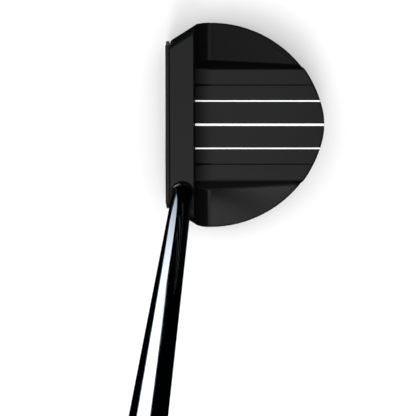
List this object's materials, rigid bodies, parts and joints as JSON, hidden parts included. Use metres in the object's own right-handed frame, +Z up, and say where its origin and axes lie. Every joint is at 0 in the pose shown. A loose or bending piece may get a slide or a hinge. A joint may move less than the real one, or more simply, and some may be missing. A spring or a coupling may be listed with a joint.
{
  "type": "mallet putter",
  "caption": "Right-handed D-shaped mallet putter: raised face bar and centre deck with alignment lines, lower side wings, steel sole plate, straight tapered shaft at the heel and pistol grip.",
  "frame": {"origin": "centre of the flat sole, which lies on the plane z = 0", "axes": "-Y to the target, square to the topline; +Y to the rear of the head; +X to the heel and the player; +Z up; the shaft leans to +X at 70 degrees of lie"},
  "size_m": [0.3835, 0.0805, 0.8174],
  "materials": {
    "head_black": "black anodised, fine bead-blasted satin",
    "face_black": "black anodised, milled",
    "backing": "matte damping layer",
    "line_white": "white enamel fill",
    "sole_steel": "brushed stainless steel",
    "screw_steel": "bright stainless steel",
    "weight_steel": "turned stainless steel",
    "ferrule_black": "polished black plastic",
    "shaft_black_chrome": "mirror-polished black chrome",
    "plug": "moulded plug",
    "band_grey": "plain satin film",
    "tape": "double-sided paper tape",
    "grip_rubber": "matte moulded rubber",
    "cap_black": "smooth moulded rubber"
  },
  "bodies": {
    "root": {"head_body": "head_black", "face_plate": "face_black", "face_backing": "backing", "alignment_line_toe": "line_white", "alignment_line_centre": "line_white", "alignment_line_heel": "line_white", "sole_plate": "sole_steel", "sole_screw_1": "screw_steel", "sole_screw_2": "screw_steel", "sole_screw_3": "screw_steel", "sole_screw_4": "screw_steel", "sole_screw_5": "screw_steel", "sole_screw_6": "screw_steel", "sole_weight_toe": "weight_steel", "sole_weight_heel": "weight_steel", "ferrule": "ferrule_black", "shaft": "shaft_black_chrome", "tip_plug": "plug", "shaft_band": "band_grey", "grip_tape": "tape", "grip_sleeve": "grip_rubber", "grip_cap": "cap_black"}
  },
  "joints": []
}
